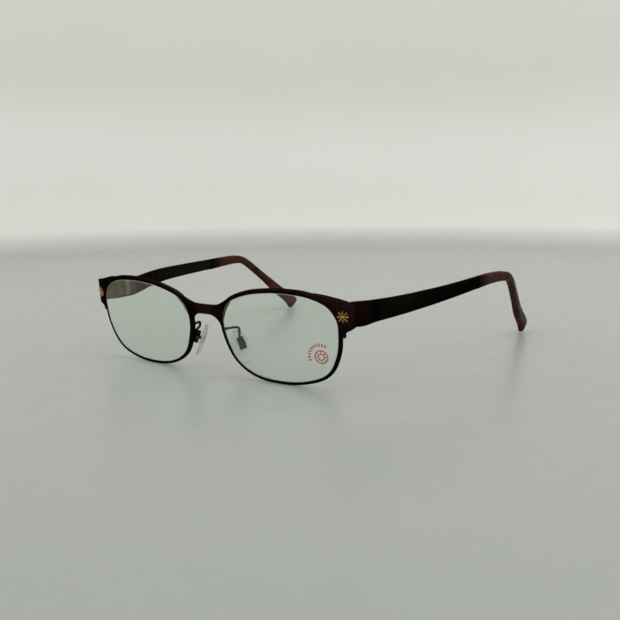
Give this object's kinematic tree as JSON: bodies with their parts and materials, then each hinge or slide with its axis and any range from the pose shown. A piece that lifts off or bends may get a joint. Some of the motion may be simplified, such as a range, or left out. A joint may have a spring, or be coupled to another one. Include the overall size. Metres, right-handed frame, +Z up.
{
  "type": "eyeglasses",
  "caption": "Full-rim metal eyeglasses: clear lenses in slim rims, flared end pieces with rosettes, folding temples with curved acetate tips and rocking nose pads.",
  "frame": {"origin": "middle of the overall box at the height of the surface that the eyeglasses stand on", "axes": "+Z up from the surface, -Y out of the lenses' fronts, +Y back along the temples, +X the wearer's left"},
  "size_m": [0.1608, 0.1612, 0.0376],
  "materials": {
    "front_metal": "satin dark brown lacquer",
    "temple_metal": "satin near-black lacquer",
    "pad_metal": "brown plated",
    "hinge_metal": "soldered, lightly tarnished",
    "screw_steel": "turned",
    "core_steel": "rolled",
    "gold": "polished",
    "acetate": "polished translucent",
    "pad_clear": "clear, slightly frosted",
    "lens": "clear with a green antireflection coating"
  },
  "bodies": {
    "front": {"bridge": "front_metal", "left_lens": "lens", "left_rim": "front_metal", "left_rim_lock_upper": "front_metal", "left_rim_lock_lower": "front_metal", "left_rim_lock_screw": "screw_steel", "left_end_piece": "front_metal", "left_rosette": "gold", "left_hinge_front": "hinge_metal", "left_hinge_screw": "screw_steel", "left_pad_arm": "pad_metal", "left_pad_box": "pad_metal", "left_pad_screw": "screw_steel", "right_lens": "lens", "right_rim": "front_metal", "right_rim_lock_upper": "front_metal", "right_rim_lock_lower": "front_metal", "right_rim_lock_screw": "screw_steel", "right_end_piece": "front_metal", "right_rosette": "gold", "right_hinge_front": "hinge_metal", "right_hinge_screw": "screw_steel", "right_pad_arm": "pad_metal", "right_pad_box": "pad_metal", "right_pad_screw": "screw_steel"},
    "left_temple_arm": {"left_temple": "temple_metal", "left_core_wire": "core_steel", "left_temple_tip": "acetate", "left_hinge_temple": "hinge_metal"},
    "left_pad": {"left_nose_pad": "pad_clear", "left_pad_insert": "hinge_metal"},
    "right_temple_arm": {"right_temple": "temple_metal", "right_core_wire": "core_steel", "right_temple_tip": "acetate", "right_hinge_temple": "hinge_metal"},
    "right_pad": {"right_nose_pad": "pad_clear", "right_pad_insert": "hinge_metal"}
  },
  "joints": [
    {"name": "left_temple_fold", "type": "hinge", "parent": "front", "child": "left_temple_arm", "pos_m": [0.06368, -0.06066, 0.02885], "axis": [0, -0.0541, 0.9985], "range_deg": [0, 98]},
    {"name": "right_temple_fold", "type": "hinge", "parent": "front", "child": "right_temple_arm", "pos_m": [-0.06368, -0.06066, 0.02885], "axis": [0, 0.0541, -0.9985], "range_deg": [0, 91]},
    {"name": "left_pad_rock", "type": "hinge", "parent": "front", "child": "left_pad", "pos_m": [0.0122, -0.06986, 0.0129], "axis": [0.5777, 0.766, 0.2818], "range_deg": [-10, 10]},
    {"name": "right_pad_rock", "type": "hinge", "parent": "front", "child": "right_pad", "pos_m": [-0.0122, -0.06986, 0.0129], "axis": [-0.5777, 0.766, 0.2818], "range_deg": [-10, 10]}
  ]
}
